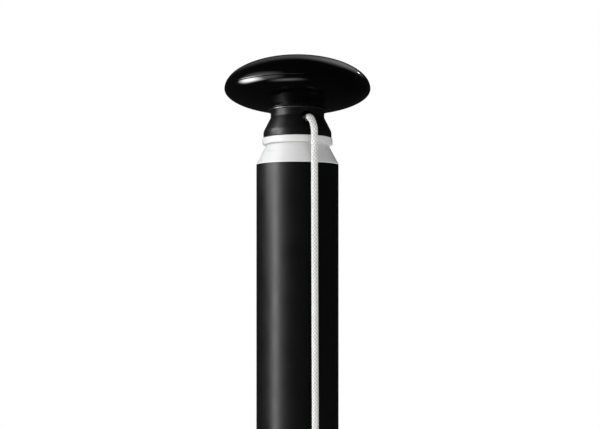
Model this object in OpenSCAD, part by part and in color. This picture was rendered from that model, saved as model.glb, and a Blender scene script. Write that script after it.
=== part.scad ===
// Flagpole: a bolt-down aluminium tube with a turning head, a disc finial and an outside halyard.
// Frame: millimetres, +Z up, origin at the centre of the base plate's underside.
// The halyard lies in the plane of Y and Z: its front leg is on the -Y side, above the cleat.

/* [Pole] */
// Height from the underside of the base plate to the top of the finial
height = 6000; // [4000:10:8000]
// Outside diameter of the tube
tube_d = 75; // [60:1:100]
// Wall of the tube
tube_wall = 2.5; // [2:0.1:5]

/* [Finial] */
// Widest diameter of the finial
finial_d = 133; // [100:1:180]
// Height of the upper shell above the seam
crown_h = 28.4; // [20:0.1:45]
// Depth of the lower shell below the seam
belly_h = 19.8; // [14:0.1:30]
// Wall of both shells
finial_wall = 3; // [2:0.5:5]
// Chamfer at the edge of each shell, which makes the seam
seam_chamfer = 0.4; // [0.2:0.1:1]

/* [Neck] */
// Diameter of the neck at the halyard hole
neck_d = 49; // [44:0.5:60]
// How far the skirt at the foot stands out from the neck
skirt_out = 6.6; // [3:0.1:10]
// Height of the neck under the rim
neck_h = 24.2; // [22:0.1:40]
// Height of the straight foot of the skirt
skirt_h = 5.8; // [3:0.1:10]
// Height of the flare between the skirt and the straight neck
flare_h = 13.4; // [8:0.1:16]
// Thickness of the rim under the finial
rim_t = 1.6; // [1:0.1:3]
// How far the rim stands out from the neck
rim_out = 2.7; // [1:0.1:5]
// Diameter of the stub that locates the finial
stub_d = 24; // [16:1:40]
// Length of the stub inside the finial
stub_h = 9; // [6:0.5:12]

/* [Halyard] */
// Diameter of the rope
rope_d = 6; // [4:0.5:8]
// Diameter of the cross hole in the neck
hole_d = 9.6; // [8.6:0.1:11]
// Distance from the top of the hole to the top of the neck
hole_top_gap = 0.6; // [0.4:0.1:3]
// Gap between the tube and the rope where it comes off the head
rope_gap = 0.5; // [0.3:0.1:3]
// Turns of rope on the stem of the cleat
cleat_turns = 2; // [1:1:3]

/* [Bearing] */
// How far the bearing ring stands out from the skirt
ring_out = 0.9; // [0.2:0.1:3]
// Thickness of the bearing ring
ring_t = 6; // [4:0.1:10]
// Diameter of the hub of the bearing ring
hub_d = 22; // [18:0.5:26]
// Running gap between the ring and the neck
run_gap = 0.3; // [0.2:0.1:1]
// Diameter of the spindle bolt
spindle_d = 10; // [8:1:12]
// Radial running clearance of the spindle
spindle_clear = 0.08; // [0.05:0.01:0.1]

/* [Adapter] */
// Height of the adapter's cone
cone_h = 18; // [12:0.5:40]
// Diameter at the top of the cone
cone_top_d = 56.4; // [50:0.1:70]
// Length of the spigot inside the tube
spigot_h = 60; // [40:1:120]
// Wall of the spigot and thickness of the plate at the cone's top
adapter_wall = 4; // [3:0.5:6]

/* [Cleat] */
// Height of the cleat's centre above the ground
cleat_z = 1200; // [900:10:1500]
// Length over the horns
cleat_l = 150; // [120:1:200]
// Width of the pad
pad_w = 26; // [24:1:34]
// Length of the pad
pad_l = 84; // [78:1:110]
// Thickness of the pad in front of the tube
pad_t = 8; // [6:0.5:12]
// Width of the stem
stem_w = 18; // [14:0.5:22]
// Length of the stem
stem_l = 40; // [30:1:44]
// How far the horns stand out from the sides of the stem
horn_out = 1.5; // [0.5:0.5:4]
// Thickness of the horns at the tips
tip_d = 9; // [7:0.5:12]
// Diameter of the cleat's screws
cleat_screw_d = 5; // [4:0.5:6]

/* [Flag hooks] */
// Height of the lower hook's eye above the centre of the cleat
hook_rise = 300; // [200:10:800]
// Distance between the two hooks, for a flag 900 mm high
hook_pitch = 900; // [600:10:1500]
// Wire diameter of the hook's link
hook_wire = 5; // [4:0.5:7]
// Inside width of the link
link_w = 13; // [10:0.5:20]
// Inside length of the link
link_l = 32; // [26:1:50]

/* [Base] */
// Side of the square base plate
plate_w = 200; // [180:5:300]
// Thickness of the base plate
plate_t = 10; // [8:1:16]
// Corner radius of the base plate
plate_r = 12; // [4:1:30]
// Distance from the plate's edges to the centres of the anchor holes
anchor_edge = 25; // [16:1:40]
// Diameter of the anchor holes
anchor_d = 14; // [10:1:20]
// Height of the sleeve above the plate
sleeve_h = 240; // [150:5:500]
// Wall of the sleeve
sleeve_wall = 4; // [3:0.5:8]
// Gap between the tube and the sleeve
sleeve_gap = 0.5; // [0.3:0.1:2]
// Height of the gussets
gusset_h = 90; // [50:1:150]
// Thickness of the gussets
gusset_t = 6; // [4:0.5:10]
// Diameter of the clamp screws
clamp_d = 8; // [6:1:12]

/* [Hidden] */
$fn = 96;

// Small amount by which cuts pass the faces that they open
over = 1;
// Gap between pieces that rest on each other on curved faces
seat = 0.2;

// Radii
tube_r = tube_d / 2;
tube_bore_r = tube_r - tube_wall;
finial_r = finial_d / 2;
neck_r = neck_d / 2;
rim_r = neck_r + rim_out;
skirt_r = neck_r + skirt_out;
ring_r = skirt_r + ring_out;
rope_r = rope_d / 2;
hole_r = hole_d / 2;
spindle_r = spindle_d / 2;

// The rim's top is where the lower shell's ellipse has the rim's radius
belly_at_rim = belly_h * sqrt(1 - pow(rim_r / finial_r, 2));

// Levels above the top edge of the tube
ring_z = cone_h;
neck_z = ring_z + ring_t + run_gap;
rim_z = neck_z + neck_h;
seat_z = rim_z + rim_t;
seam_z = seat_z + belly_at_rim;
hole_z = rim_z - hole_top_gap - hole_r;
rope_z = hole_z - hole_r + rope_r + seat;

// Level of the top edge of the tube above the ground
tube_top = height - seam_z - crown_h;

// Neck: foot of the boss, cavity and wall
boss_r = 10;
cavity_h = 8;
neck_wall = 4;
flare_z = neck_z + skirt_h + flare_h;
hole_flare = 0.5;
hole_flare_l = 3;
mouth_l = 4 * hole_flare_l;
spindle_top = hole_z - hole_r - 3;

// Spindle: washer and hex head under the hub
hub_l = 9;
washer_t = 2.5;
washer_r = 13;
hex_h = 6.4;
hex_af = 17;
hub_bottom = ring_z - hub_l;
washer_z = hub_bottom - run_gap - washer_t;

// Adapter
plate_top_t = adapter_wall + 2;
spigot_r = tube_bore_r - seat;

// Halyard: it leaves the head clear of the tube and the ring, and bends over the edges of the neck
leg_r = max(tube_r, ring_r) + rope_gap + rope_r;
bend_r = leg_r - neck_r;
bend_z = rope_z - bend_r;
// Gap between the bends, which turn with the head, and the tops of the legs
leg_gap = 0.1;

// Cleat, in front of the tube
pad_face = tube_r + pad_t;
turn_gap = 0.6;
turn_y0 = pad_face + rope_r + turn_gap;
turn_step = rope_d + turn_gap;
turn_x = stem_w / 2 + rope_r + turn_gap / 2;
turn_half = stem_l / 2 - stem_w / 2;
horn_r = stem_w / 2 + horn_out;
horn_y = pad_face + cleat_turns * turn_step + turn_gap + horn_r;
cleat_screw_z = pad_l / 2 - 9;
cleat_screw_r = cleat_screw_d / 2;
screw_head_r = cleat_screw_d * 0.9;
screw_head_h = cleat_screw_d * 0.6;
screw_clear = 0.1;

// Both legs end where they touch the round top of a turn
turn_touch = cleat_z + turn_half + 2 * sqrt(turn_x * rope_r) + seat;

// Front leg: a straight line from the front bend to the side of the first turn
leg_end = tube_top + bend_z - leg_gap;
leg_top = [0, -leg_r, leg_end];
leg_foot = [turn_x, -turn_y0, turn_touch];
function on_leg(z) = leg_foot + (leg_top - leg_foot) * (z - leg_foot.z) / (leg_top.z - leg_foot.z);

// Rear leg: straight down, then round the -X side and out to the last turn
wrap_top = cleat_z + 550;
wrap_drop = 350;
wrap_turn = 135;
wrap_steps = 12;
wrap_end = [-turn_x, -turn_y0 - (cleat_turns - 1) * turn_step, turn_touch];
wrap_straight = 15;
wrap_off = [leg_r * cos(90 + wrap_turn), leg_r * sin(90 + wrap_turn), wrap_top - wrap_drop];
wrap_in = wrap_end + [0, 0, wrap_straight];
function ease(s) = s * s * (3 - 2 * s);
wrap_route = concat(
    [[0, leg_r, wrap_top + wrap_straight]],
    [for (i = [0:wrap_steps])
        let (s = i / wrap_steps, a = 90 + wrap_turn * ease(s))
        [leg_r * cos(a), leg_r * sin(a), wrap_top - wrap_drop * s]],
    [for (s = [0.25, 0.5, 0.75, 1])
        let (d = wrap_in - wrap_off)
        wrap_off + [d.x * ease(s), d.y * ease(s), d.z * s]],
    [wrap_end]);

// Flag hooks
hook_z = cleat_z + hook_rise;
eye_wire = 3;
eye_gap = 0.4;
eye_r = rope_r + eye_gap + eye_wire / 2;
knot_r = rope_r + 2.6;
knot_l = 14;
shank_r = 3.2;
link_y = eye_r + eye_wire / 2 + 7;
link_r = link_w / 2 + hook_wire / 2;
link_drop = 8;

// Base
anchor_half = plate_w / 2 - anchor_edge;
sleeve_bore_r = tube_r + sleeve_gap;
sleeve_r = sleeve_bore_r + sleeve_wall;
gusset_out = plate_w / 2 - 12;
gusset_lip = 10;
clamp_levels = [plate_t + sleeve_h * 0.5, plate_t + sleeve_h - 30];
clamp_head_h = clamp_d * 0.66;
clamp_head_af = clamp_d * 1.625;

// ---------- helpers ----------

// Quarter ellipse outline from the seam's edge to the axis, as [radius, height]
function quarter(r, h, n = 24) = [for (i = [0:n]) [r * cos(90 * i / n), h * sin(90 * i / n)]];

// Ring of points round p, square to the direction d
function ring_at(p, d, r, n) =
    let (w = d / norm(d), u0 = cross(w, [1, 0, 0]), u = u0 / norm(u0), v = cross(w, u))
    [for (k = [0:n - 1]) p + r * (cos(360 * k / n) * u + sin(360 * k / n) * v)];

// Round rope along a list of points
module rope_along(path, r = rope_r, n = 12) {
    m = len(path);
    points = [for (i = [0:m - 1])
        let (a = path[max(i - 1, 0)], b = path[min(i + 1, m - 1)])
        each ring_at(path[i], b - a, r, n)];
    sides = [for (i = [0:m - 2], k = [0:n - 1])
        [i * n + k, i * n + (k + 1) % n, (i + 1) * n + (k + 1) % n, (i + 1) * n + k]];
    caps = [[for (k = [n - 1:-1:0]) k], [for (k = [0:n - 1]) (m - 1) * n + k]];
    polyhedron(points = points, faces = concat(sides, caps));
}

// Straight round bar between two points
module bar(a, b, r) {
    d = b - a;
    translate(a)
        rotate([0, acos(d.z / norm(d)), atan2(d.y, d.x)])
            cylinder(h = norm(d), r = r);
}

// Oval loop of wire in the plane of X and Z, round the origin
module loop_xz(half_w, half_l, r) {
    for (s = [-1, 1]) {
        translate([s * half_w, 0, -half_l]) cylinder(h = 2 * half_l, r = r);
        translate([0, 0, s * half_l])
            rotate([90, 0, 0])
                rotate([0, 0, s > 0 ? 0 : 180])
                    rotate_extrude(angle = 180) translate([half_w, 0]) circle(r = r);
    }
}

// ---------- head: turns on the bearing ring ----------

module finial_upper_shell() {
    color("#0b0b0c")
    translate([0, 0, tube_top + seam_z])
        rotate_extrude()
            polygon(concat(
                [[finial_r - seam_chamfer, 0]],
                [for (p = quarter(finial_r, crown_h)) if (p.y > seam_chamfer / 2) p],
                [[0, crown_h - finial_wall]],
                [for (i = [23:-1:0])
                    let (p = quarter(finial_r - finial_wall, crown_h - finial_wall)[i]) p]));
}

module finial_lower_shell() {
    inner_r = finial_r - finial_wall;
    inner_h = belly_h - finial_wall;
    floor_z = -belly_at_rim;
    color("#0b0b0c")
    translate([0, 0, tube_top + seam_z])
        difference() {
            rotate_extrude()
                polygon(concat(
                    [[0, floor_z]],
                    [for (i = [24:-1:0])
                        let (p = quarter(finial_r, -belly_h)[i])
                        if (p.y > floor_z && p.y < -seam_chamfer / 2) p],
                    [[finial_r - seam_chamfer, 0]],
                    [for (p = quarter(inner_r, -inner_h)) if (p.y > floor_z + finial_wall) p],
                    [[0, floor_z + finial_wall]]));
            translate([0, 0, floor_z - over])
                cylinder(h = finial_wall + 2 * over, r = stub_d / 2 + seat);
        }
}

module neck_rim() {
    color("#1a1a1c")
    translate([0, 0, tube_top + rim_z])
        difference() {
            union() {
                cylinder(h = rim_t / 2, r1 = neck_r + 0.6, r2 = rim_r);
                translate([0, 0, rim_t / 2]) cylinder(h = rim_t / 2, r = rim_r);
            }
            translate([0, 0, -over]) cylinder(h = rim_t + 2 * over, r = stub_d / 2 + seat);
        }
}

module truck_neck() {
    foot = neck_z;
    color("#161618")
    translate([0, 0, tube_top])
        difference() {
            union() {
                rotate_extrude()
                    polygon([[0, foot], [skirt_r - 0.5, foot], [skirt_r, foot + 0.5],
                             [skirt_r, foot + skirt_h - 1],
                             [skirt_r - 0.4, foot + skirt_h + 0.6],
                             [neck_r + 0.6, flare_z - 1.4], [neck_r, flare_z],
                             [neck_r, rim_z], [0, rim_z]]);
                translate([0, 0, rim_z - over])
                    cylinder(h = rim_t + stub_h + over, r = stub_d / 2);
            }
            // Cavity round the boss, open towards the ring
            translate([0, 0, foot - over])
                difference() {
                    cylinder(h = cavity_h + over, r = skirt_r - neck_wall);
                    cylinder(h = cavity_h + over, r = boss_r);
                }
            // Thread for the spindle
            translate([0, 0, foot - over]) cylinder(h = spindle_top - foot + over, r = spindle_r + 0.05);
            // Halyard hole with a flared mouth at both ends
            translate([0, 0, hole_z]) rotate([90, 0, 0]) cylinder(h = 2 * skirt_r, r = hole_r, center = true);
            for (s = [-1, 1])
                translate([0, s * (neck_r - hole_flare_l), hole_z])
                    rotate([s * -90, 0, 0])
                        cylinder(h = mouth_l, r1 = hole_r, r2 = hole_r + mouth_l * hole_flare);
        }
}

module spindle_bolt() {
    color("#b9bcc0")
    translate([0, 0, tube_top]) {
        translate([0, 0, washer_z]) cylinder(h = spindle_top - 1 - washer_z, r = spindle_r);
        translate([0, 0, washer_z - hex_h]) cylinder(h = hex_h, r = hex_af / sqrt(3), $fn = 6);
    }
}

module spindle_washer() {
    color("#b9bcc0")
    translate([0, 0, tube_top + washer_z])
        difference() {
            cylinder(h = washer_t, r = washer_r);
            translate([0, 0, -over]) cylinder(h = washer_t + 2 * over, r = spindle_r + seat);
        }
}

// Rope through the neck, with the bend outside each mouth
module halyard_bridge() {
    color("#f2f2ee")
    translate([0, 0, tube_top]) {
        translate([0, 0, rope_z]) rotate([90, 0, 0]) cylinder(h = 2 * neck_r, r = rope_r, center = true);
        for (a = [0, 180])
            rotate([0, 0, a])
                translate([0, -neck_r, bend_z])
                    rotate([0, 0, -90])
                        rotate([90, 0, 0])
                            rotate_extrude(angle = 90) translate([bend_r, 0]) circle(r = rope_r);
    }
}

// ---------- pole: fixed ----------

module bearing_ring() {
    color("#f4f4f2")
    translate([0, 0, tube_top])
        difference() {
            union() {
                translate([0, 0, ring_z])
                    rotate_extrude()
                        polygon([[0, 0], [ring_r - 0.5, 0], [ring_r, 0.5],
                                 [ring_r, ring_t - 0.5], [ring_r - 0.5, ring_t], [0, ring_t]]);
                translate([0, 0, hub_bottom]) cylinder(h = hub_l + over, r = hub_d / 2);
            }
            translate([0, 0, hub_bottom - over])
                cylinder(h = hub_l + ring_t + 2 * over, r = spindle_r + spindle_clear);
        }
}

module adapter_cone() {
    inner_r = spigot_r - adapter_wall;
    top_r = cone_top_d / 2;
    color("#f0f0ee")
    translate([0, 0, tube_top])
        difference() {
            rotate_extrude()
                polygon([[inner_r, -spigot_h], [spigot_r - 1, -spigot_h], [spigot_r, -spigot_h + 1],
                         [spigot_r, 0], [tube_r, 0], [tube_r, 0.6], [top_r, cone_h], [0, cone_h],
                         [0, cone_h - plate_top_t], [top_r - adapter_wall, cone_h - plate_top_t],
                         [inner_r, 0]]);
            translate([0, 0, cone_h - plate_top_t - over])
                cylinder(h = plate_top_t + 2 * over, r = hub_d / 2 + seat);
        }
}

module pole_tube() {
    color("#101012")
    difference() {
        translate([0, 0, plate_t]) cylinder(h = tube_top - plate_t, r = tube_r);
        translate([0, 0, plate_t - over]) cylinder(h = tube_top - plate_t + 2 * over, r = tube_bore_r);
        for (s = [-1, 1])
            translate([0, -tube_bore_r + 2, cleat_z + s * cleat_screw_z])
                rotate([90, 0, 0]) cylinder(h = tube_wall + 4, r = cleat_screw_r + screw_clear);
    }
}

module halyard_front_leg() {
    color("#f2f2ee") bar(leg_foot, leg_top, rope_r);
}

module halyard_rear_leg() {
    color("#f2f2ee")
    bar(wrap_route[0], [0, leg_r, leg_end], rope_r);
}

module halyard_wrap() {
    color("#f2f2ee") rope_along(wrap_route);
}

module halyard_turns() {
    color("#f2f2ee")
    for (i = [0:cleat_turns - 1])
        translate([0, -turn_y0 - i * turn_step, cleat_z]) loop_xz(turn_x, turn_half, rope_r);
}

// Stopper knots above and below a hook's eye
module stopper_knots(z) {
    color("#f2f2ee")
    for (s = [-1, 1])
        translate(on_leg(z + s * (eye_wire / 2 + seat + knot_l / 2)))
            rotate_extrude()
                difference() {
                    scale([1, knot_l / 2 / knot_r]) circle(r = knot_r);
                    translate([-2 * knot_r + rope_r + seat, -knot_l]) square([2 * knot_r, 2 * knot_l]);
                }
}

// Wire eye round the rope, a shank in front of it and a link that hangs from the shank
module flag_hook(z) {
    color("#c2a35a")
    translate(on_leg(z)) {
        rotate_extrude() translate([eye_r, 0]) circle(r = eye_wire / 2);
        translate([0, -eye_r, 0]) rotate([90, 0, 0]) cylinder(h = link_y - eye_r, r = eye_wire / 2);
        translate([0, -link_y, -link_drop]) cylinder(h = link_drop + shank_r, r = shank_r);
        translate([0, -link_y, -link_drop - link_l / 2 - hook_wire / 2])
            loop_xz(link_r, link_l / 2 - link_w / 2, hook_wire / 2);
    }
}

module hook_knots_upper() {
    stopper_knots(hook_z + hook_pitch);
}

module hook_knots_lower() {
    stopper_knots(hook_z);
}

module flag_hook_upper() {
    flag_hook(hook_z + hook_pitch);
}

module flag_hook_lower() {
    flag_hook(hook_z);
}

// Pad on the tube, stem and two horns
module cleat() {
    color("#141416")
    difference() {
        union() {
            translate([-pad_w / 2, -pad_face, cleat_z - pad_l / 2])
                cube([pad_w, pad_face - tube_bore_r, pad_l]);
            translate([-stem_w / 2, -horn_y, cleat_z - stem_l / 2 + stem_w / 2])
                cube([stem_w, horn_y - tube_bore_r, stem_l - stem_w]);
            for (s = [-1, 1])
                translate([0, -tube_bore_r, cleat_z + s * (stem_l - stem_w) / 2])
                    rotate([90, 0, 0]) cylinder(h = horn_y - tube_bore_r, r = stem_w / 2);
            translate([0, -horn_y, cleat_z])
                rotate_extrude()
                    polygon([[0, -cleat_l / 2], [tip_d / 2 - 1, -cleat_l / 2], [tip_d / 2, -cleat_l / 2 + 2],
                             [horn_r, -stem_l / 2], [horn_r, stem_l / 2],
                             [tip_d / 2, cleat_l / 2 - 2], [tip_d / 2 - 1, cleat_l / 2], [0, cleat_l / 2]]);
        }
        translate([0, 0, cleat_z - pad_l]) cylinder(h = 2 * pad_l, r = tube_r + seat);
        for (s = [-1, 1])
            translate([0, -tube_bore_r, cleat_z + s * cleat_screw_z])
                rotate([90, 0, 0]) cylinder(h = pad_t + tube_wall + over, r = cleat_screw_r + screw_clear);
    }
}

module cleat_screws() {
    color("#b9bcc0")
    for (s = [-1, 1])
        translate([0, 0, cleat_z + s * cleat_screw_z])
            rotate([90, 0, 0]) {
                translate([0, 0, tube_bore_r - 4])
                    cylinder(h = pad_face - tube_bore_r + 4, r = cleat_screw_r);
                translate([0, 0, pad_face]) cylinder(h = screw_head_h, r = screw_head_r);
            }
}

// ---------- base ----------

module base_plate() {
    c = plate_w / 2 - plate_r;
    color("#1c1c1e")
    difference() {
        union() {
            translate([-plate_w / 2, -c, 0]) cube([plate_w, 2 * c, plate_t]);
            translate([-c, -plate_w / 2, 0]) cube([2 * c, plate_w, plate_t]);
            for (x = [-c, c], y = [-c, c]) translate([x, y, 0]) cylinder(h = plate_t, r = plate_r);
        }
        for (x = [-1, 1], y = [-1, 1])
            translate([x * anchor_half, y * anchor_half, -over])
                cylinder(h = plate_t + 2 * over, r = anchor_d / 2);
    }
}

module base_sleeve() {
    color("#1c1c1e")
    difference() {
        translate([0, 0, plate_t]) cylinder(h = sleeve_h, r = sleeve_r);
        translate([0, 0, plate_t - over]) cylinder(h = sleeve_h + 2 * over, r = sleeve_bore_r);
        for (z = clamp_levels)
            translate([0, 0, z])
                rotate([0, 90, 0])
                    cylinder(h = 2 * sleeve_r + 2 * over, r = clamp_d / 2 + screw_clear, center = true);
    }
}

module base_gussets() {
    color("#1c1c1e")
    for (a = [0:90:270])
        rotate([0, 0, a])
            translate([0, gusset_t / 2, 0])
                rotate([90, 0, 0])
                    linear_extrude(height = gusset_t)
                        polygon([[sleeve_r + seat, plate_t], [gusset_out, plate_t],
                                 [gusset_out, plate_t + gusset_lip],
                                 [sleeve_r + gusset_lip, plate_t + gusset_h],
                                 [sleeve_r + seat, plate_t + gusset_h]]);
}

module clamp_screws() {
    color("#b9bcc0")
    for (z = clamp_levels, a = [0, 180])
        rotate([0, 0, a])
            translate([0, 0, z])
                rotate([0, 90, 0]) {
                    translate([0, 0, tube_r + seat]) cylinder(h = sleeve_r - tube_r, r = clamp_d / 2);
                    translate([0, 0, sleeve_r + seat])
                        cylinder(h = clamp_head_h, r = clamp_head_af / sqrt(3), $fn = 6);
                }
}

finial_upper_shell();
finial_lower_shell();
neck_rim();
truck_neck();
spindle_bolt();
spindle_washer();
halyard_bridge();
bearing_ring();
adapter_cone();
pole_tube();
halyard_front_leg();
halyard_rear_leg();
halyard_wrap();
halyard_turns();
hook_knots_upper();
hook_knots_lower();
flag_hook_upper();
flag_hook_lower();
cleat();
cleat_screws();
base_plate();
base_sleeve();
base_gussets();
clamp_screws();
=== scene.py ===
"""Looks of a bolt-down flagpole: its finial, neck, halyard, tube, cleat, hooks and foot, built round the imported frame.

Everything is in metres, with +Z up and the origin at the centre of the base plate's underside.
"""

import math

import bpy
import numpy as np
from bpy.props import FloatProperty, FloatVectorProperty, IntProperty, PointerProperty
from bpy.types import Operator, Panel, PropertyGroup
from mathutils import Matrix, Vector


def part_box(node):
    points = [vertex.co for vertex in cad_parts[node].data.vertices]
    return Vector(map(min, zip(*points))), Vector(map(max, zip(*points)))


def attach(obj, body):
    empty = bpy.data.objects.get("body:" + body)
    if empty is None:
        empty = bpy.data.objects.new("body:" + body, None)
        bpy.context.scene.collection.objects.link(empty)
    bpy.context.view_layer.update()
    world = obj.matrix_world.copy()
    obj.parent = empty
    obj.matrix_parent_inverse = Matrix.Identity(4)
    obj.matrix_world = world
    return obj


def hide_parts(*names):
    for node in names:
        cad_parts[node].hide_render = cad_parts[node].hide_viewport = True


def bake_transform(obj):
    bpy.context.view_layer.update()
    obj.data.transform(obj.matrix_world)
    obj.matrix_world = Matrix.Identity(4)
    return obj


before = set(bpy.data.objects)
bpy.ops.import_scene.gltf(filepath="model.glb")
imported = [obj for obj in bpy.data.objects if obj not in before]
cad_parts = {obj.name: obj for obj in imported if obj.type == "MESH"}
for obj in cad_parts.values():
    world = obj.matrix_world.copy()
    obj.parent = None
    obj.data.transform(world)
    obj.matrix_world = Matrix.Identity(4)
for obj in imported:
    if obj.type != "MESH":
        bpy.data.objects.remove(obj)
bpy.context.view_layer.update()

bl_info = {
    "name": "Flagpole",
    "version": (1, 0, 0),
    "blender": (4, 5, 0),
    "location": "3D View > Sidebar > Flagpole",
    "description": "Builds the pieces and finishes of a bolt-down flagpole round its packed frame",
    "category": "Add Mesh",
}

MM = 0.001
FULL_TURN = 2 * math.pi
ON_ITS_SIDE = Matrix.Rotation(math.pi / 2, 4, "X")

TUBE_LOW, TUBE_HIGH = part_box("pole_tube")
TUBE_TOP, TUBE_RADIUS = TUBE_HIGH.z, TUBE_HIGH.x
CROWN_LOW, CROWN_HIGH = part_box("finial_upper_shell")
SEAM, POLE_TOP, FINIAL_RADIUS = CROWN_LOW.z, CROWN_HIGH.z, CROWN_HIGH.x
LOWER_SHELL_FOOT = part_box("finial_lower_shell")[0].z
# The lower shell is cut off at its foot from a bowl this deep
LOWER_SHELL_DEPTH = 19.8 * MM
RIM_LOW, RIM_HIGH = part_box("neck_rim")
NECK_LOW, NECK_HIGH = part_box("truck_neck")
NECK_FOOT, STUB_TOP, SKIRT_RADIUS = NECK_LOW.z, NECK_HIGH.z, NECK_HIGH.x
STUB_BORE = 12.2 * MM
HOLE_LEVEL = TUBE_TOP + 41.4 * MM
RING_LOW, RING_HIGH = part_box("bearing_ring")
CONE_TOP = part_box("adapter_cone")[1].z
PLATE_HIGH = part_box("base_plate")[1]
PLATE_HALF, PLATE_TOP = PLATE_HIGH.x, PLATE_HIGH.z
PLATE_ROUNDING, ANCHOR_SPACING, ANCHOR_RADIUS = 12 * MM, 75 * MM, 7 * MM
SLEEVE_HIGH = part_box("base_sleeve")[1]
SLEEVE_RADIUS, SLEEVE_TOP, SLEEVE_WALL = SLEEVE_HIGH.x, SLEEVE_HIGH.z, 4 * MM
GUSSET_OUT, GUSSET_TOP, GUSSET_THICK, GUSSET_LIP = 88 * MM, 100 * MM, 6 * MM, 10 * MM
CLAMP_LEVELS = (130 * MM, 220 * MM)
CLEAT_LOW, CLEAT_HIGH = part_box("cleat")
CLEAT_MIDDLE = (CLEAT_LOW.z + CLEAT_HIGH.z) / 2
HOOK_LEVELS = {"lower": 1.5, "upper": 2.4}

# The lights of the finial shine on nothing else, and the tube's lights pass the finial by
LIGHT_GROUPS = ("lit_finial", "lit_others")

# Soft panels. Azimuth in degrees, 0 at the camera and growing to its right; then distance from the axis, level,
# width, height, radiance and kind. No group means that a panel lights everything.
PANELS = {
    "key": ("lit_others", -63, 4.0, 6.4, 1.0, 3.6, 8.5, "upright"),
    "key_foot": ("lit_others", -63, 4.0, 2.4, 1.0, 4.4, 6.0, "upright"),
    "key_side": ("lit_others", -42, 4.0, 4.2, 1.4, 8.0, 0.35, "upright"),
    "high_left": ("lit_others", -84, 2.6, 7.3, 1.8, 3.8, 9.0, "feathered"),
    "low_right": ("lit_others", 80, 2.6, 1.6, 1.5, 3.2, 1.5, "upright"),
    "low_back": ("lit_others", 175, 3.0, 1.7, 2.4, 3.4, 1.5, "upright"),
    "back": ("lit_others", 180, 4.0, 3.8, 1.4, 7.4, 0.7, "upright"),
    "fill_left": (None, -35, 6.0, 4.0, 6.0, 6.0, 0.4, "fill"),
    "fill_front": (None, 20, 6.0, 4.0, 6.0, 6.0, 2.05, "fill"),
    "fill_right": (None, 80, 6.0, 4.0, 5.0, 6.0, 1.6, "fill"),
    "fill_back": (None, 180, 6.0, 4.0, 6.0, 6.0, 1.6, "fill"),
    "finial_core": ("lit_finial", -78, 3.0, 5.2, 3.0, 3.4, 25.0, "feathered"),
    "finial_halo": ("lit_finial", -59, 3.0, 5.95, 5.6, 6.0, 2.5, "feathered"),
    "finial_band": ("lit_finial", -22, 3.0, 1.6, 5.2, 3.4, 2.4, "feathered"),
    "finial_top": ("lit_finial", 178, 2.3, 8.1, 4.4, 2.4, 0.2, "feathered"),
    "finial_back": ("lit_finial", 150, 2.3, 8.2, 2.6, 2.6, 0.5, "feathered"),
    "finial_glint": ("lit_finial", 146, 2.54, 7.54, 0.09, 0.09, 25.0, "plain"),
}


# ---------- sizes and colours that a user would change ----------


def a_length(name, description, default, low, high):
    return FloatProperty(name=name, description=description, default=default, min=low, max=high, unit="LENGTH")


def a_colour(name, description, default):
    return FloatVectorProperty(name=name, description=description, default=default, min=0, max=1, subtype="COLOR")


class FlagpoleSizes(PropertyGroup):
    neck_radius: a_length("Neck radius", "Outside radius of the neck at the halyard hole", 24.5 * MM, 0.02, 0.03)
    hole_radius: a_length("Hole radius", "Radius of the cross hole for the halyard", 4.8 * MM, 0.003, 0.006)
    tube_wall: a_length("Tube wall", "Thickness of the tube's wall", 2.5 * MM, 0.001, 0.006)
    shell_wall: a_length("Shell wall", "Thickness of both shells of the finial", 3 * MM, 0.001, 0.006)
    seam_rounding: a_length(
        "Seam rounding", "Rounding of each shell's edge where the two shells meet", 0.6 * MM, 0.0001, 0.002)
    segments: IntProperty(
        name="Segments", description="Number of sides of the turned pieces", default=192, min=32, max=512)


class HalyardSizes(PropertyGroup):
    diameter: a_length("Rope diameter", "Outside diameter of the halyard", 6 * MM, 0.003, 0.01)
    lay: a_length("Lay", "Length along the rope in which a strand goes once round it", 20 * MM, 0.01, 0.05)
    strands: IntProperty(
        name="Strands each way", description="Strands that run each way round in the braid", default=6, min=4, max=12)
    relief: a_length("Braid relief", "Depth of the valleys between the braid's strands", 0.5 * MM, 0.0, 0.001)


class FlagpoleColours(PropertyGroup):
    finial: a_colour("Finial", "Colour of the polished finial", (0.0008, 0.0008, 0.0009))
    neck: a_colour("Neck", "Colour of the satin neck", (0.003, 0.003, 0.0032))
    tube: a_colour("Tube", "Colour of the tube's powder coat", (0.0022, 0.0022, 0.0024))
    bearing: a_colour("Bearing", "Colour of the white bearing ring", (0.7, 0.7, 0.7))
    adapter: a_colour("Adapter", "Colour of the white cone on the tube", (0.728, 0.732, 0.737))
    rope: a_colour("Rope", "Colour of the braided rope", (0.86, 0.86, 0.85))
    brass: a_colour("Brass", "Colour of the flag hooks", (0.62, 0.45, 0.2))
    foot: a_colour("Foot", "Colour of the coat on the welded foot", (0.013, 0.013, 0.014))


class StageSettings(PropertyGroup):
    distance: a_length("Camera distance", "Distance of the camera from the pole's axis", 0.5607, 0.2, 20)
    aside: a_length("Camera aside", "How far the camera stands to the right of the axis", 2.3 * MM, -1, 1)
    below_top: a_length("Camera drop", "Height of the camera below the top edge of the tube", 0.0452, -1, 6)
    azimuth: FloatProperty(
        name="Camera azimuth", description="Direction of the camera round the pole, from the -Y side",
        default=math.radians(-20.84), unit="ROTATION")
    lens: FloatProperty(
        name="Lens", description="Focal length on a 36 mm wide sensor, in millimetres",
        default=36.78, min=10, max=200)
    floor_radius: a_length("Floor radius", "Radius of the round floor", 14.0, 1, 16)


# ---------- finishes ----------


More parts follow.
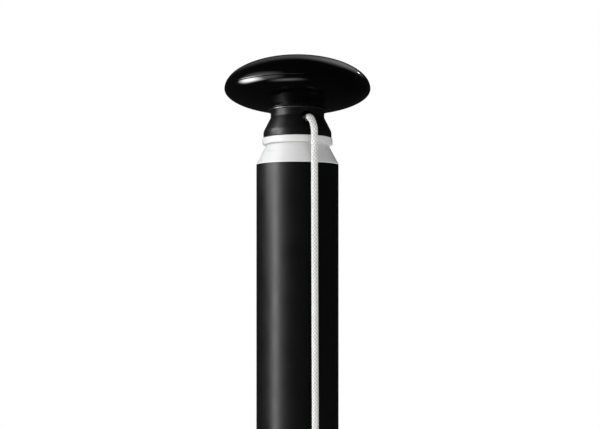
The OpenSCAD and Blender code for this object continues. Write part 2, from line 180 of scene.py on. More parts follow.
class Nodes:
    """Adds nodes to a node tree. An input takes a plain value or another node's output."""

    def __init__(self, tree):
        self.tree = tree

    def set(self, node, socket, value):
        if isinstance(value, bpy.types.NodeSocket):
            self.tree.links.new(value, node.inputs[socket])
        else:
            node.inputs[socket].default_value = value

    def node(self, kind, inputs=(), **settings):
        node = self.tree.nodes.new(kind)
        for name, value in settings.items():
            setattr(node, name, value)
        for socket, value in dict(inputs).items():
            self.set(node, socket, value)
        return node

    def math(self, operation, *values):
        return self.node("ShaderNodeMath", enumerate(values), operation=operation).outputs[0]


class Finish(Nodes):
    """One finish, built node by node round a principled shader. Constants go on the shader's own sockets."""

    def __init__(self, name, colour, roughness, metallic=0.0, **sockets):
        self.material = bpy.data.materials.new(name)
        self.material.use_nodes = True
        super().__init__(self.material.node_tree)
        self.shader = self.tree.nodes["Principled BSDF"]
        self.set(self.shader, "Base Color", (*colour[:3], 1))
        self.set(self.shader, "Roughness", roughness)
        self.set(self.shader, "Metallic", metallic)
        for socket, value in sockets.items():
            self.set(self.shader, socket.replace("_", " ").title().replace("Ior", "IOR"), value)
        self.place = self.node("ShaderNodeTexCoord").outputs["Object"]
        self.material.diffuse_color = (*colour[:3], 1)

    def noise(self, scale, detail=3.0, rough=0.5, stretch=(1, 1, 1)):
        where = self.node("ShaderNodeMapping", {"Vector": self.place, "Scale": stretch}).outputs[0]
        return self.node("ShaderNodeTexNoise", {
            "Vector": where, "Scale": scale, "Detail": detail, "Roughness": rough}).outputs[0]

    def between(self, value, low, high, start=0.3, end=0.7):
        return self.node("ShaderNodeMapRange", {
            "Value": value, "From Min": start, "From Max": end, "To Min": low, "To Max": high}).outputs[0]

    def vary_colour(self, share, first, second):
        mix = self.node("ShaderNodeMix", {0: share, 6: (*first[:3], 1), 7: (*second[:3], 1)}, data_type="RGBA")
        self.set(self.shader, "Base Color", mix.outputs[2])

    def vary_roughness(self, value, low, high):
        self.set(self.shader, "Roughness", self.between(value, low, high))

    def bump(self, height, depth, strength=1.0, under=None):
        inputs = {"Height": height, "Distance": depth, "Strength": strength}
        if under is not None:
            inputs["Normal"] = under
        normal = self.node("ShaderNodeBump", inputs).outputs[0]
        self.set(self.shader, "Normal", normal)
        return normal


def scaled(colour, factor):
    return tuple(min(1.0, c * factor) for c in colour[:3])


def polished_black(colours):
    """Moulding polished to a mirror, with the faint waviness of a moulded shell and a few dull patches."""
    f = Finish("polished_black", colours.finial, 0.08, specular_ior_level=0.5)
    f.vary_roughness(f.noise(38, 4), 0.06, 0.11)
    wave = f.bump(f.noise(16, 1), 0.00025, 0.5)
    f.bump(f.noise(900, 2), 0.000004, 0.4, wave)
    return f.material


def satin_black(colours):
    """Moulded neck: satin, with a fine grain and slightly brighter rubbed patches."""
    f = Finish("satin_black", colours.neck, 0.3, specular_ior_level=0.5)
    f.vary_colour(f.between(f.noise(60, 4), 0, 1), colours.neck, scaled(colours.neck, 1.4))
    f.vary_roughness(f.noise(120, 4), 0.3, 0.4)
    grain = f.bump(f.noise(1500, 2), 0.00002, 0.35)
    f.bump(f.noise(90, 2), 0.0001, 0.25, grain)
    return f.material


def polished_rim(colours):
    """The bead under the finial, polished like it, with the neck's colour made 2.5 times lighter all over as a painted
    highlight.
    """
    # Painted highlight: the bead's colour is the neck's, made 2.5 times lighter
    f = Finish("polished_rim", scaled(colours.neck, 2.5), 0.18, specular_ior_level=0.7)
    f.vary_roughness(f.noise(200, 3), 0.14, 0.24)
    f.bump(f.noise(800, 2), 0.00001, 0.3)
    return f.material


def powder_coat(name, colour, roughness, peel):
    """Baked powder coat: an orange peel over a broad unevenness, and a grey bloom of dust that comes and goes."""
    f = Finish(name, colour, roughness, specular_ior_level=0.5)
    f.vary_colour(f.between(f.noise(9, 5, 0.6, (1, 1, 0.25)), 0, 1), colour, scaled(colour, 1.5))
    f.vary_roughness(f.noise(45, 4), roughness - 0.03, roughness + 0.05)
    fine = f.bump(f.noise(peel, 2), 0.00003, 0.4)
    f.bump(f.noise(peel / 6, 2), 0.00008, 0.2, fine)
    return f.material


def white_plastic(name, colour, roughness):
    """Smooth white moulding that lets a little light in, with faint warmer patches."""
    f = Finish(name, colour, roughness, specular_ior_level=0.4, subsurface_weight=0.08, subsurface_scale=0.002)
    f.shader.inputs["Subsurface Radius"].default_value = (1.0, 0.9, 0.8)
    f.vary_colour(f.between(f.noise(70, 4), 0, 1), colour, (colour[0] * 0.985, colour[1] * 0.975, colour[2] * 0.96))
    f.vary_roughness(f.noise(150, 3), roughness - 0.04, roughness + 0.06)
    f.bump(f.noise(1200, 2), 0.00002, 0.25)
    return f.material


def braided_rope(colours, sizes):
    """Polyester braid. U runs once round the rope and V is metres along it, so that the strands cross where the
    mesh's do."""
    f = Finish("braided_rope", colours.rope, 0.75, specular_ior_level=0.25, sheen_weight=0.25, sheen_roughness=0.5)
    split = f.node("ShaderNodeSeparateXYZ", {0: f.node("ShaderNodeUVMap", uv_map="along").outputs[0]})
    round_it = f.math("MULTIPLY", split.outputs[0], float(sizes.strands))
    along = f.math("MULTIPLY", split.outputs[1], sizes.strands / sizes.lay)
    right, left = f.math("ADD", round_it, along), f.math("SUBTRACT", round_it, along)
    # Which strand is on top alternates from crossing to crossing
    cells = f.math("ADD", f.math("FLOOR", right), f.math("FLOOR", left))
    on_top = f.math("PINGPONG", cells, 1.0)
    crowns = []
    for across in (right, left):
        off_middle = f.math("SUBTRACT", f.math("MULTIPLY", f.math("FRACT", across), 2.0), 1.0)
        crowns.append(f.math("SUBTRACT", 1.0, f.math("MULTIPLY", off_middle, off_middle)))
    crown = f.node("ShaderNodeMix", {0: on_top, 2: crowns[0], 3: crowns[1]}).outputs[0]
    crown = f.math("MULTIPLY", crown, f.math("ADD", 0.5, f.math("MULTIPLY", 0.5, f.math("MINIMUM", *crowns))))
    # Fibres run along the strand that is on top
    fibre_at = f.node("ShaderNodeMix", {0: on_top, 2: right, 3: left}).outputs[0]
    fibres = f.math("SINE", f.math("MULTIPLY", fibre_at, 5 * FULL_TURN))
    # Painted shade: the colour darkens to 0.4 of the rope's in the valleys between the strands, where the crown is low
    f.vary_colour(f.between(crown, 0, 1, 0.02, 0.5), scaled(colours.rope, 0.4), colours.rope)
    strands = f.bump(crown, 0.0004, 0.7)
    f.bump(f.math("ADD", f.math("MULTIPLY", fibres, 0.35), f.noise(2500, 2)), 0.00006, 0.5, strands)
    return f.material


def cast_brass(colours):
    """Cast brass, tumbled smooth, with darker tarnish in patches."""
    f = Finish("cast_brass", colours.brass, 0.3, metallic=1.0)
    f.vary_colour(f.between(f.noise(260, 5, 0.6), 0, 1), colours.brass, scaled(colours.brass, 0.6))
    f.vary_roughness(f.noise(400, 4), 0.22, 0.42)
    f.bump(f.noise(1800, 3), 0.00003, 0.4)
    return f.material


def stainless_steel():
    """Plain stainless, lightly brushed round its axis."""
    f = Finish("stainless_steel", (0.6, 0.6, 0.61), 0.28, metallic=1.0, anisotropic=0.4)
    f.vary_roughness(f.noise(300, 4, 0.6, (1, 1, 12)), 0.2, 0.36)
    f.bump(f.noise(500, 2, 0.5, (1, 1, 14)), 0.000015, 0.4)
    return f.material


def black_nylon():
    """Glass-filled nylon: a dull skin with a fine grain and pale scuffs in patches."""
    colour = (0.014, 0.014, 0.015)
    f = Finish("black_nylon", colour, 0.45, specular_ior_level=0.45)
    f.vary_colour(f.between(f.noise(160, 5, 0.7), 0, 1, 0.55, 0.75), colour, (0.03, 0.03, 0.031))
    f.vary_roughness(f.noise(220, 4), 0.38, 0.52)
    f.bump(f.noise(1400, 3), 0.00004, 0.4)
    return f.material


def whipping_twine():
    """Waxed white twine that binds the rope."""
    colour = (0.8, 0.79, 0.75)
    f = Finish("whipping_twine", colour, 0.6, specular_ior_level=0.3)
    f.vary_colour(f.between(f.noise(900, 3), 0, 1), colour, (0.62, 0.61, 0.57))
    f.bump(f.noise(3500, 2), 0.00003, 0.6)
    return f.material


def weld_metal(colours):
    """Weld beads under the foot's coat."""
    f = Finish("coated_weld", colours.foot, 0.5)
    f.vary_roughness(f.noise(300, 3), 0.42, 0.58)
    f.bump(f.noise(700, 3), 0.00012, 0.5)
    return f.material


# ---------- shapes ----------


def mm(*rows):
    """Rows of millimetres as rows of metres."""
    return [tuple(value * MM for value in row) for row in rows]


def piece(name, points, faces, material, crease=35):
    """A new smooth-shaded mesh object. Edges sharper than crease, in degrees, stay sharp."""
    mesh = bpy.data.meshes.new(name)
    mesh.from_pydata([tuple(p) for p in points], [], [tuple(f) for f in faces])
    mesh.update()
    mesh.polygons.foreach_set("use_smooth", [True] * len(mesh.polygons))
    mesh.set_sharp_from_angle(angle=math.radians(crease))
    mesh.materials.append(material)
    obj = bpy.data.objects.new(name, mesh)
    bpy.context.scene.collection.objects.link(obj)
    return obj


def settle(obj, body, slot, *nodes):
    """The piece rides on a body and stands for CAD nodes. Its slot is not used."""
    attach(obj, body)
    if nodes:
        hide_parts(*nodes)
    return obj


def light_apart(*pieces):
    """The pieces take the finial's lights and none of the others."""
    finial, others = (bpy.data.collections[name] for name in LIGHT_GROUPS)
    for obj in pieces:
        finial.objects.link(obj)
        others.objects.link(obj)
    for member in others.collection_objects:
        member.light_linking.link_state = "EXCLUDE"


def rounded(corners, step=9):
    """Closed outline with rounded corners. A corner is (across, up) or (across, up, rounding)."""
    outline = []
    for i, corner in enumerate(corners):
        here = Vector(corner[:2])
        if len(corner) < 3:
            outline.append(here)
            continue
        back = Vector(corners[i - 1][:2]) - here
        ahead = Vector(corners[(i + 1) % len(corners)][:2]) - here
        half = back.angle(ahead) / 2
        reach = min(corner[2] / math.tan(half), 0.48 * back.length, 0.48 * ahead.length)
        centre = here + (back.normalized() + ahead.normalized()).normalized() * reach / math.cos(half)
        first, last = here + back.normalized() * reach - centre, here + ahead.normalized() * reach - centre
        sweep = first.angle_signed(last)
        count = max(2, math.ceil(math.degrees(abs(sweep)) / step))
        start = math.atan2(first.y, first.x)
        for k in range(count + 1):
            turn = start - sweep * k / count
            outline.append(centre + first.length * Vector((math.cos(turn), math.sin(turn))))
    return outline


def lathe(outline, segments):
    """Points and faces of a closed outline of (radius, height) turned round Z."""
    points, rings = [], []
    for radius, height in outline:
        if radius < 1e-7:
            rings.append([len(points)] * segments)
            points.append((0, 0, height))
        else:
            rings.append(list(range(len(points), len(points) + segments)))
            points += [(radius * math.cos(FULL_TURN * k / segments),
                        radius * math.sin(FULL_TURN * k / segments), height) for k in range(segments)]
    faces = []
    for low, high in zip(rings, rings[1:] + rings[:1]):
        for k in range(segments):
            corners = [low[k], low[(k + 1) % segments], high[(k + 1) % segments], high[k]]
            face = [c for n, c in enumerate(corners) if c not in corners[:n]]
            if len(face) > 2:
                faces.append(face)
    return points, faces


def turned(name, outline, material, segments, crease=35):
    """A turned piece; its outline goes round the section anticlockwise, as seen with the axis on the left."""
    return piece(name, *lathe(outline, segments), material, crease)


def frames_along(path):
    """Two directions square to a path at each of its points, carried along it without twist."""
    ahead = np.gradient(path, axis=0)
    ahead /= np.linalg.norm(ahead, axis=1)[:, None]
    side = np.cross(ahead[0], (1.0, 0, 0))
    if np.linalg.norm(side) < 0.1:
        side = np.cross(ahead[0], (0, 1.0, 0))
    sides = [side / np.linalg.norm(side)]
    for direction in ahead[1:]:
        side = sides[-1] - direction * (sides[-1] @ direction)
        sides.append(side / np.linalg.norm(side))
    sides = np.array(sides)
    return sides, np.cross(ahead, sides)


def swept(path, radii, sides=12, closed=False):
    """Points and faces of a round bar along a path, with one radius for each point."""
    path = np.asarray(path, float)
    radii = np.broadcast_to(radii, len(path))
    across, up = frames_along(path)
    turn = np.arange(sides) * FULL_TURN / sides
    points = (path[:, None] + radii[:, None, None] * (
        np.cos(turn)[None, :, None] * across[:, None] + np.sin(turn)[None, :, None] * up[:, None])).reshape(-1, 3)
    faces, count = [], len(path)
    for i in range(count if closed else count - 1):
        for k in range(sides):
            j, n = (i + 1) % count, (k + 1) % sides
            faces.append((i * sides + k, i * sides + n, j * sides + n, j * sides + k))
    if not closed:
        faces += [tuple(range(sides))[::-1], tuple((count - 1) * sides + k for k in range(sides))]
    return [tuple(p) for p in points], faces


def lofted(rings):
    """Points and faces of a solid through rings of equally many points, closed by a flat face at both ends."""
    rings = np.asarray(rings, float)
    count, sides = rings.shape[:2]
    faces = [(i * sides + k, i * sides + (k + 1) % sides, (i + 1) * sides + (k + 1) % sides, (i + 1) * sides + k)
             for i in range(count - 1) for k in range(sides)]
    faces += [tuple(range(sides))[::-1], tuple((count - 1) * sides + k for k in range(sides))]
    return [tuple(p) for p in rings.reshape(-1, 3)], faces


# Points round a screw's head, and the angle of each
ROUND = 96
SCREW_TURN = np.arange(ROUND) * FULL_TURN / ROUND


def polar(rings):
    """A solid along Z through rings of (radii, height), where the radius may differ from angle to angle."""
    return lofted([np.stack([radii * np.cos(SCREW_TURN), radii * np.sin(SCREW_TURN), np.full(ROUND, height)], axis=1)
                   for radii, height in rings])


def hexagon(across):
    """Radius of a hexagon, from its width across flats, at each angle of a ring."""
    return across / 2 / np.cos((SCREW_TURN + math.pi / 6) % (math.pi / 3) - math.pi / 6)


def rounded_square(half, rounding, height, steps=8):
    """A ring of points round a square with rounded corners, at a height."""
    ring = []
    for corner in range(4):
        for k in range(steps + 1):
            turn = math.pi / 2 * (corner + k / steps)
            middle = math.pi / 4 + math.pi / 2 * corner
            ring.append((math.copysign(half - rounding, math.cos(middle)) + rounding * math.cos(turn),
                         math.copysign(half - rounding, math.sin(middle)) + rounding * math.sin(turn), height))
    return ring


def joined(*parts):
    """Points and faces of several shapes as one list of each."""
    points, faces = [], []
    for some_points, some_faces in parts:
        start = len(points)
        points += [tuple(p) for p in some_points]
        faces += [tuple(start + i for i in face) for face in some_faces]
    return points, faces


def moved(shape, matrix):
    return [tuple(matrix @ Vector(p)) for p in shape[0]], shape[1]


def at(x, y, z):
    return Matrix.Translation((x, y, z))


def applied(obj):
    """The object with its modifiers worked into its mesh."""
    graph = bpy.context.evaluated_depsgraph_get()
    graph.update()
    mesh = bpy.data.meshes.new_from_object(obj.evaluated_get(graph))
    obj.modifiers.clear()
    obj.data = mesh
    return obj


def cut(obj, shape, crease=35):
    """Cuts a closed shape out of a piece."""
    cutter = piece("cutter", *shape, obj.data.materials[0])
    modifier = obj.modifiers.new("cut", "BOOLEAN")
    modifier.object, modifier.operation, modifier.solver = cutter, "DIFFERENCE", "EXACT"
    applied(obj)
    bpy.data.objects.remove(cutter)
    obj.data.set_sharp_from_angle(angle=math.radians(crease))
    return obj


# ---------- route of the halyard ----------

ROPE_RADIUS = 3 * MM
# Distance of both legs from the axis
LEG_LINE = -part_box("halyard_bridge")[0].y - ROPE_RADIUS
# The inner and the outer turn round the cleat's stem
TURN_SIDE, TURN_HALF, TURN_MIDDLE = 12.3 * MM, 11 * MM, 1.2
TURN_FRONT = (-49.1 * MM, -55.7 * MM)
LEG_FOOT = 1.22335
# The part that passes round the tube between the cleat and the rear leg
WRAP_TOP, WRAP_DROP, WRAP_STRAIGHT, WRAP_TURN = 1.75, 0.35, 0.015, 135
# Line of the rope from inside the neck, out of its mouth and down to the front leg: (x, y, height over the tube)
DROOP = ((1.3, -15, 40.6), (1.3, -20, 40.3), (1.2, -24.5, 40.0), (0.9, -27.4, 39.8), (0.5, -30.1, 39.1),
         (0.2, -32.8, 38.0), (0, -35.1, 36.5), (0, -37.1, 34.6), (0, -38.8, 32.5), (0, -40.1, 30.1), (0, -40.8, 27.6),
         (0, -41, 25), (0, -41, 22))

# The braid is real mesh above these levels on the legs, except inside the neck, on the cleat, and near each hook
FRONT_BRAID_FOOT, REAR_BRAID_FOOT, CLEAT_BRAID_TOP, HOOK_BRAID_HALF = 5.63, 5.8, 1.245, 0.035
IN_NECK_HALF, IN_NECK_FOOT, NEAR_NECK = 0.02, 5.94, 5.9


def eased(share):
    return share * share * (3 - 2 * share)


def arc(centre, radius, start, end, plane, steps=24):
    """Points along an arc in the plane of two axes, with its angles in degrees."""
    points = []
    for k in range(steps + 1):
        turn = math.radians(start + (end - start) * k / steps)
        point = list(centre)
        point[plane[0]] += radius * math.cos(turn)
        point[plane[1]] += radius * math.sin(turn)
        points.append(tuple(point))
    return points


def halyard_route():
    """The halyard's centreline. It starts and ends where its two ends are whipped together on the cleat."""
    inner, outer = TURN_FRONT
    top, bottom = TURN_MIDDLE + TURN_HALF, TURN_MIDDLE - TURN_HALF
    route = [(TURN_SIDE, outer, TURN_MIDDLE), (TURN_SIDE, outer, bottom + 2 * MM)]
    route += arc((0, outer, bottom), TURN_SIDE, 0, -180, (0, 2), 32)
    # Up the -X side of the outer turn and round the tube to the rear leg
    wrap_foot = np.array((-TURN_SIDE, outer, LEG_FOOT))
    wrap_in = wrap_foot + (0, 0, WRAP_STRAIGHT)
    turn = math.radians(90 + WRAP_TURN)
    wrap_off = np.array((LEG_LINE * math.cos(turn), LEG_LINE * math.sin(turn), WRAP_TOP - WRAP_DROP))
    route += [(-TURN_SIDE, outer, top), tuple(wrap_foot)]
    for share in (1, 0.75, 0.5, 0.25):
        step = wrap_in - wrap_off
        route.append(tuple(wrap_off + step * (eased(share), eased(share), share)))
    for k in range(12, -1, -1):
        turn = math.radians(90 + WRAP_TURN * eased(k / 12))
        route.append((LEG_LINE * math.cos(turn), LEG_LINE * math.sin(turn), WRAP_TOP - WRAP_DROP * k / 12))
    route.append((0, LEG_LINE, WRAP_TOP + WRAP_STRAIGHT))
    # Up the rear leg, through the neck and down the front leg
    bend = [(x, y, TUBE_TOP + z) for x, y, z in mm(*DROOP)]
    route += [(x, -y, z) for x, y, z in bend[::-1]] + bend
    # Down the +X side of the inner turn, round it, and over to the outer turn
    route += [(TURN_SIDE, inner, LEG_FOOT), (TURN_SIDE, inner, top)]
    route += arc((0, inner, bottom), TURN_SIDE, 0, -180, (0, 2), 32)
    over = arc((0, inner, top), TURN_SIDE, 180, 0, (0, 2), 32)
    route += [(x, inner + (outer - inner) * eased(k / 32), z) for k, (x, y, z) in enumerate(over)]
    route.append((TURN_SIDE, outer, TURN_MIDDLE))
    return np.array(route)


def front_leg(height):
    """A point of the front leg's centreline at a height."""
    foot = Vector((TURN_SIDE, TURN_FRONT[0], LEG_FOOT))
    head = Vector((0, -LEG_LINE, TUBE_TOP + DROOP[-1][2] * MM))
    return foot + (head - foot) * (height - foot.z) / (head.z - foot.z)


def smooth_line(route, spacing=0.5 * MM):
    """The route with its corners eased and points at an even spacing, and the distance along it."""
    along = np.concatenate([[0], np.cumsum(np.linalg.norm(np.diff(route, axis=0), axis=1))])
    keep = np.concatenate([[True], np.diff(along) > 1e-6])
    along, route = along[keep], route[keep]
    place = np.arange(0, along[-1], spacing)
    line = np.stack([np.interp(place, along, route[:, k]) for k in range(3)], axis=1)
    line = np.concatenate([line, route[-1:]])
    window = 9
    padded = np.concatenate([np.repeat(line[:1], window, 0), line, np.repeat(line[-1:], window, 0)])
    weights = np.hanning(2 * window + 3)[1:-1]
    weights /= weights.sum()
    line = np.stack([np.convolve(padded[:, k], weights, "valid") for k in range(3)], axis=1)
    line[0], line[-1] = route[0], route[-1]
    along = np.concatenate([[0], np.cumsum(np.linalg.norm(np.diff(line, axis=0), axis=1))])
    return line, along


# ---------- operators ----------


class FLAGPOLE_OT_stage(Operator):
    """Makes the camera, the floor and the soft studio lights"""
    bl_idname = "flagpole.stage"
    bl_label = "Stage"

    def panel(self, name, group, azimuth, distance, level, width, height, radiance, kind):
        """A soft light panel. An upright one faces the tube, and the others face the head. A feathered one is
        brightest at its middle and fades to its edges. A fill isn't mirrored in the polished pieces."""
        turn = bpy.context.scene.flagpole_stage.azimuth + math.radians(azimuth)
        rise = 0 if kind == "upright" else math.atan2(level - RIM_LOW.z, distance)
        light = bpy.data.lights.new(name, "AREA")
        light.shape, light.size, light.size_y = "RECTANGLE", width, height
        light.energy = radiance * width * height * math.pi
        obj = bpy.data.objects.new(name, light)
        bpy.context.scene.collection.objects.link(obj)
        obj.location = (math.sin(turn) * distance, -math.cos(turn) * distance, level)
        obj.rotation_euler = (math.pi / 2 - rise, 0, turn)
        obj.visible_camera = False
        obj.visible_glossy = kind != "fill"
        if group:
            obj.light_linking.receiver_collection = group
        if kind == "feathered":
            self.feather(light)

    def feather(self, light):
        light.use_nodes = True
        nodes = Nodes(light.node_tree)
        place = nodes.node("ShaderNodeSeparateXYZ", {0: nodes.node("ShaderNodeNewGeometry").outputs["Parametric"]})
        hills = []
        for across in place.outputs[:2]:
            # 4u(1 - u), squared, is 1 at the middle and 0 at both edges
            hill = nodes.math("MULTIPLY", nodes.math("MULTIPLY", across, 4.0), nodes.math("SUBTRACT", 1.0, across))
            hills.append(nodes.math("POWER", hill, 2.0))
        nodes.set(light.node_tree.nodes["Emission"], "Strength", nodes.math("MULTIPLY", *hills))

    def camera(self, scene, stage):
        lens = bpy.data.cameras.new("camera")
        lens.sensor_width, lens.lens = 36, stage.lens
        lens.clip_start, lens.clip_end = 0.01, 100
        camera = bpy.data.objects.new("camera", lens)
        scene.collection.objects.link(camera)
        scene.camera = camera
        turn = Matrix.Rotation(stage.azimuth, 4, "Z")
        camera.location = turn @ Vector((stage.aside, -stage.distance, TUBE_TOP - stage.below_top))
        camera.rotation_euler = (math.pi / 2, 0, stage.azimuth)

    def floor(self, stage):
        finish = Finish("floor", (0.5, 0.5, 0.5), 0.9, specular_ior_level=0.1)
        finish.set(finish.shader, "Emission Color", (1, 1, 1, 1))
        finish.vary_colour(finish.between(finish.noise(3, 4), 0, 1), (0.5, 0.5, 0.5), (0.47, 0.47, 0.475))
        # Past the reach of the panels the floor glows more, so that it stays even
        away = finish.node("ShaderNodeVectorMath", {0: finish.place}, operation="LENGTH").outputs["Value"]
        finish.set(finish.shader, "Emission Strength", finish.between(away, 0.72, 1.0, 1.5, 5.0))
        edge = arc((0, 0, 0), stage.floor_radius, 0, 360, (0, 1), 128)[:-1]
        floor = piece("floor", edge, [tuple(range(len(edge)))], finish.material)
        floor.visible_diffuse = floor.visible_glossy = False

    def surroundings(self, scene):
        """White where the camera looks past the floor, and nearly black in every reflection."""
        world = bpy.data.worlds.new("studio")
        scene.world = world
        world.use_nodes = True
        world.node_tree.nodes.clear()
        nodes = Nodes(world.node_tree)
        seen, mirrored = (nodes.node("ShaderNodeBackground", {"Color": (level, level, level, 1)}).outputs[0]
                          for level in (1, 0.012))
        choice = nodes.node("ShaderNodeMixShader", {
            0: nodes.node("ShaderNodeLightPath").outputs["Is Camera Ray"], 1: mirrored, 2: seen})
        nodes.node("ShaderNodeOutputWorld", {"Surface": choice.outputs[0]})

    def execute(self, context):
        scene, stage = context.scene, context.scene.flagpole_stage
        scene.view_settings.view_transform = "Standard"
        self.camera(scene, stage)
        self.floor(stage)
        groups = {name: bpy.data.collections.new(name) for name in LIGHT_GROUPS}
        for name, (group, *facts) in PANELS.items():
            self.panel(name, groups.get(group), *facts)
        self.surroundings(scene)
        return {"FINISHED"}


class FLAGPOLE_OT_flag_hooks(Operator):
    """Makes the two brass snap hooks and the twine stoppers that hold them on the halyard"""
    bl_idname = "flagpole.flag_hooks"
    bl_label = "Flag hooks"

    def snap_hook(self):
        """Swivel eye, barrel and snap of a hook whose eye is at the origin, with the rope along Z."""
        front = 13.4 * MM
        eye = swept(arc((0, 0, 0), 4.9 * MM, 0, 352.5, (0, 1), 47), 1.45 * MM, 16, closed=True)
        arm = swept([(0, -4.6 * MM, 0), (0, -8 * MM, 0), (0, -11 * MM, 0), (0, -front, 0)],
                    np.array((1.5, 1.45, 1.7, 2.4)) * MM, 24)
        barrel = lathe(rounded(mm((0, -8.4), (2.6, -8.4, 0.5), (2.6, -6.2, 0.2), (3.2, -5.6, 0.4), (3.2, 1.4, 0.5),
                                  (2.4, 2.0, 0.2), (2.4, 3.2, 0.9), (0, 3.2))), 48)
        # The snap is an oval of wire with its +X side as a sprung gate
        middle, half_w, half_l = -26.5 * MM, 9 * MM, 9.5 * MM
        hook_path = [(half_w - 0.6 * MM, -front, middle + half_l + 0.5 * MM)]
        hook_path += arc((0, -front, middle + half_l), half_w, 8, 180, (0, 2), 28)
        hook_path += [(-half_w, -front, middle + half_l * share) for share in (0.5, 0, -0.5)]
        hook_path += arc((0, -front, middle - half_l), half_w, 180, 372, (0, 2), 34)
        share = np.linspace(0, 1, len(hook_path))
        thick = (2.3 + 0.2 * np.sin(math.pi * share)) * MM
        thick[0], thick[-1], thick[-2] = 1.6 * MM, 1.5 * MM, 2.2 * MM
        body = swept(hook_path, thick, 20)
        gate_low, gate_high = middle - half_l + 2.4 * MM, middle + half_l + 1.6 * MM
        gate = swept([(half_w, -front, z) for z in np.linspace(gate_low, gate_high, 8)],
                     np.array((1.2, 1.75, 1.8, 1.8, 1.8, 1.8, 1.75, 1.2)) * MM, 20)
        stud = moved(lathe(rounded(mm((0, 0), (1.1, 0), (1.0, 0.8), (1.7, 1.2, 0.4), (1.7, 2.0, 0.5), (0, 2.2))), 32),
                     at(half_w, -front - 1.0 * MM, middle + 2 * MM) @ ON_ITS_SIDE)
        rivet = moved(lathe(rounded(mm((0, -2.9), (1.3, -2.9, 0.4), (1.3, 2.9, 0.4), (0, 2.9))), 24),
                      at(half_w - 0.3 * MM, -front, middle - half_l + 1.0 * MM) @ ON_ITS_SIDE)
        return joined(eye, arm, barrel, body, gate, stud, rivet)

    def stopper(self):
        """A two-layer whipping of twine, centred on the origin, round a rope along Z."""
        twine = 0.7 * MM
        layers = []
        for turns, radius, length in ((9, twine * 0.9, 12.4 * MM), (6, twine * 2.6, 8.2 * MM)):
            radius += ROPE_RADIUS
            path = [(radius * math.cos(FULL_TURN * turns * s), radius * math.sin(FULL_TURN * turns * s),
                     length * (s - 0.5)) for s in np.linspace(0, 1, turns * 24 + 1)]
            layers.append(swept(path, twine * 0.98, 8))
        return joined(*layers)

    def execute(self, context):
        brass, twine = cast_brass(context.scene.flagpole_colours), whipping_twine()
        # From a hook's middle to the middle of a stopper: half the eye, a gap and half the stopper
        reach = (1.5 + 0.2 + 7) * MM
        for name, level in HOOK_LEVELS.items():
            hook = piece("snap_hook_" + name, *moved(self.snap_hook(), at(*front_leg(level))), brass, 40)
            pair = [moved(self.stopper(), at(*front_leg(level + side * reach))) for side in (-1, 1)]
            stoppers = piece("twine_stoppers_" + name, *joined(*pair), twine, 60)
            for obj, slot, node in ((hook, "brass", "flag_hook_"), (stoppers, "rope", "hook_knots_")):
                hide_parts(node + name)
                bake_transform(obj)
        return {"FINISHED"}


